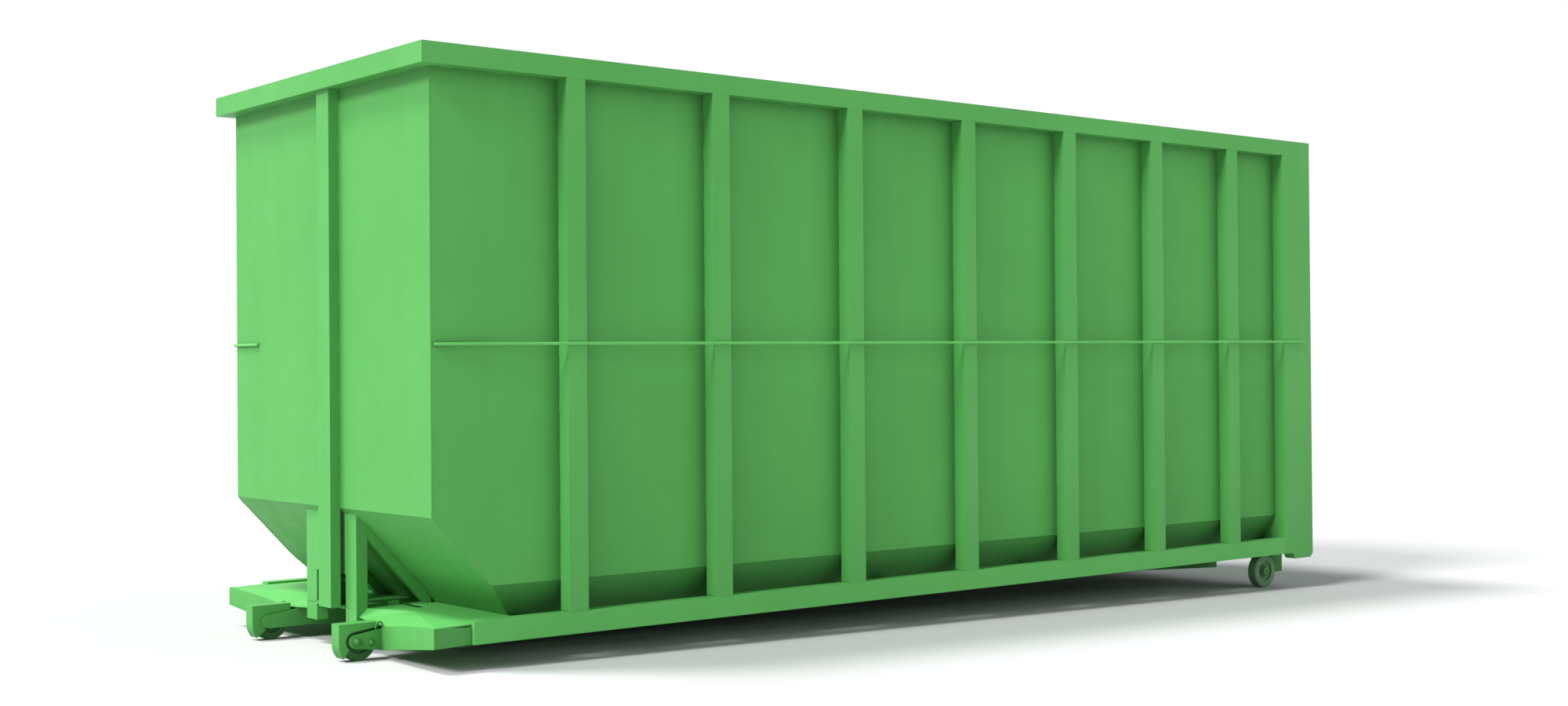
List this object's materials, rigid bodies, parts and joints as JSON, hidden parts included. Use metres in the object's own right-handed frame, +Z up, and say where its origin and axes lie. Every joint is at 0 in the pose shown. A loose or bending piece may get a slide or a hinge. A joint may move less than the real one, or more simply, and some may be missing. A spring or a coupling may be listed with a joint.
{
  "type": "roll-off container",
  "caption": "Open-top roll-off container: ribbed steel tub with tapered sides and sloped nose, on nose rollers and rear wheels, with a side-hinged rear door and lift latch.",
  "frame": {"origin": "centre of the overall box in plan, on the ground", "axes": "+Z up, +Y from the nose to the rear door along the length, +X to the left side"},
  "size_m": [2.4698, 6.9912, 3.0988],
  "materials": {
    "paint": "green gloss paint over steel",
    "shaded_paint": "green paint, thinner coat underneath",
    "wheel_steel": "worn dark green paint over steel",
    "bar_steel": "worn green paint over round bar"
  },
  "bodies": {
    "container": {"floor_sheet": "shaded_paint", "side_sheet_left": "paint", "side_sheet_right": "paint", "front_sheet": "paint", "top_rail_left": "paint", "top_rail_right": "paint", "top_rail_front": "paint", "bottom_rail_left": "paint", "bottom_rail_right": "paint", "rib_1_left": "paint", "rib_1_right": "paint", "rib_2_left": "paint", "rib_2_right": "paint", "rib_3_left": "paint", "rib_3_right": "paint", "rib_4_left": "paint", "rib_4_right": "paint", "rib_5_left": "paint", "rib_5_right": "paint", "rib_6_left": "paint", "rib_6_right": "paint", "rib_7_left": "paint", "rib_7_right": "paint", "tie_rod_left": "paint", "tie_rod_right": "paint", "front_post": "paint", "rear_post_left": "paint", "rear_post_right": "paint", "rear_sill": "paint", "long_sill_left": "shaded_paint", "long_sill_right": "shaded_paint", "cross_member_1": "shaded_paint", "cross_member_2": "shaded_paint", "cross_member_3": "shaded_paint", "cross_member_4": "shaded_paint", "cross_member_5": "shaded_paint", "cross_member_6": "shaded_paint", "nose_skirt_left": "paint", "nose_skirt_right": "paint", "nose_deck_left": "paint", "nose_deck_right": "paint", "nose_strut_left": "paint", "nose_strut_right": "paint", "pull_frame": "shaded_paint", "roller_guard_left": "paint", "roller_guard_right": "paint", "roller_arm_left": "paint", "roller_arm_right": "paint", "wheel_bracket_left": "paint", "wheel_bracket_right": "paint", "hinge_rod": "bar_steel"},
    "door": {"door_frame": "paint", "door_sheet": "paint"},
    "latch_bar": {"latch_bar": "bar_steel"},
    "latch_lever": {"latch_lever": "bar_steel"},
    "nose_roller_left": {"nose_roller_left": "wheel_steel"},
    "nose_roller_right": {"nose_roller_right": "wheel_steel"},
    "rear_wheel_left": {"rear_wheel_left": "wheel_steel"},
    "rear_wheel_right": {"rear_wheel_right": "wheel_steel"}
  },
  "joints": [
    {"name": "door_swing", "type": "hinge", "parent": "container", "child": "door", "pos_m": [-1.184, 3.4496, 1.65692], "axis": [0, -0.0198, 0.9998], "range_deg": [0, 250]},
    {"name": "latch_lift", "type": "slide", "parent": "door", "child": "latch_bar", "axis": [0, -0.0198, 0.9998], "range_m": [-0.11, 0]},
    {"name": "lever_turn", "type": "hinge", "parent": "door", "child": "latch_lever", "pos_m": [0.942, 3.46335, 1.46756], "axis": [0, 0.9998, 0.0198], "range_deg": [0, 49.3]},
    {"name": "nose_roller_left_spin", "type": "hinge", "parent": "container", "child": "nose_roller_left", "pos_m": [0.51665, -3.38369, 0.08745], "axis": [1, 0, 0], "continuous": true},
    {"name": "nose_roller_right_spin", "type": "hinge", "parent": "container", "child": "nose_roller_right", "pos_m": [-0.51665, -3.38369, 0.08745], "axis": [1, 0, 0], "continuous": true},
    {"name": "rear_wheel_left_spin", "type": "hinge", "parent": "container", "child": "rear_wheel_left", "pos_m": [0.967, 3.18808, 0.11345], "axis": [1, 0, 0], "continuous": true},
    {"name": "rear_wheel_right_spin", "type": "hinge", "parent": "container", "child": "rear_wheel_right", "pos_m": [-0.967, 3.18808, 0.11345], "axis": [1, 0, 0], "continuous": true}
  ],
  "couplings": [
    {"joint": "lever_turn", "follows": "latch_lift", "rad_per_m": -7.81}
  ]
}
